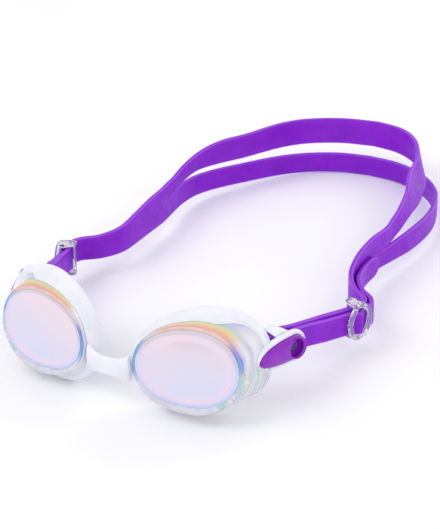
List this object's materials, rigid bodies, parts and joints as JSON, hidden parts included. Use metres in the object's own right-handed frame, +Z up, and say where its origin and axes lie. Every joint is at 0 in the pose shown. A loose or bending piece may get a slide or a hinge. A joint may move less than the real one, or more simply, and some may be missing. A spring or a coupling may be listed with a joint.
{
  "type": "swim goggles",
  "caption": "Swim goggles with mirrored oval lenses, soft white gaskets, a nose bridge, temple clips, clear strap sliders and a split silicone head strap.",
  "frame": {"origin": "middle of the bounding box at its base, on the table that the goggles lie on", "axes": "+Z up from the table, the wearer looks along -Y, +X towards the wearer's left"},
  "size_m": [0.1626, 0.2682, 0.043],
  "materials": {
    "lens": "pale iridescent mirror coating over a clear window",
    "eyecup": "clear moulded polycarbonate with a faint rainbow sheen",
    "gasket": "soft satin white silicone",
    "bridge": "soft satin white silicone",
    "clip": "white moulded plastic",
    "insert": "glossy purple moulded plastic",
    "strap": "smooth satin purple silicone",
    "slider": "clear moulded plastic"
  },
  "bodies": {
    "front": {"left_lens": "lens", "left_eyecup": "eyecup", "left_gasket": "gasket", "left_temple_clip": "clip", "left_clip_insert": "insert", "left_strap_post": "clip", "right_lens": "lens", "right_eyecup": "eyecup", "right_gasket": "gasket", "right_temple_clip": "clip", "right_clip_insert": "insert", "right_strap_post": "clip", "nose_bridge": "bridge"},
    "strap": {"left_strap_side": "strap", "left_strap_tail": "strap", "right_strap_side": "strap", "right_strap_tail": "strap", "lower_band": "strap"},
    "left_slider": {"left_slider": "slider"},
    "right_slider": {"right_slider": "slider"},
    "upper_band": {"upper_band": "strap"}
  },
  "joints": [
    {"name": "strap_swing", "type": "hinge", "parent": "front", "child": "strap", "pos_m": [0, -0.09823, 0.02501], "axis": [1, 0, 0], "range_deg": [0, 10]},
    {"name": "upper_band_spread", "type": "hinge", "parent": "strap", "child": "upper_band", "pos_m": [0, 0.00976, 0.02637], "axis": [1, 0, 0], "range_deg": [0, 35], "stiffness_Nm_per_rad": 0.02},
    {"name": "left_slider_travel", "type": "slide", "parent": "strap", "child": "left_slider", "axis": [0.3167, 0.9323, -0.1749], "range_m": [-0.02, 0], "deforming": ["left_strap_tail"]},
    {"name": "right_slider_travel", "type": "slide", "parent": "strap", "child": "right_slider", "axis": [-0.3382, 0.9215, -0.1911], "range_m": [-0.02, 0], "deforming": ["right_strap_tail"]}
  ]
}
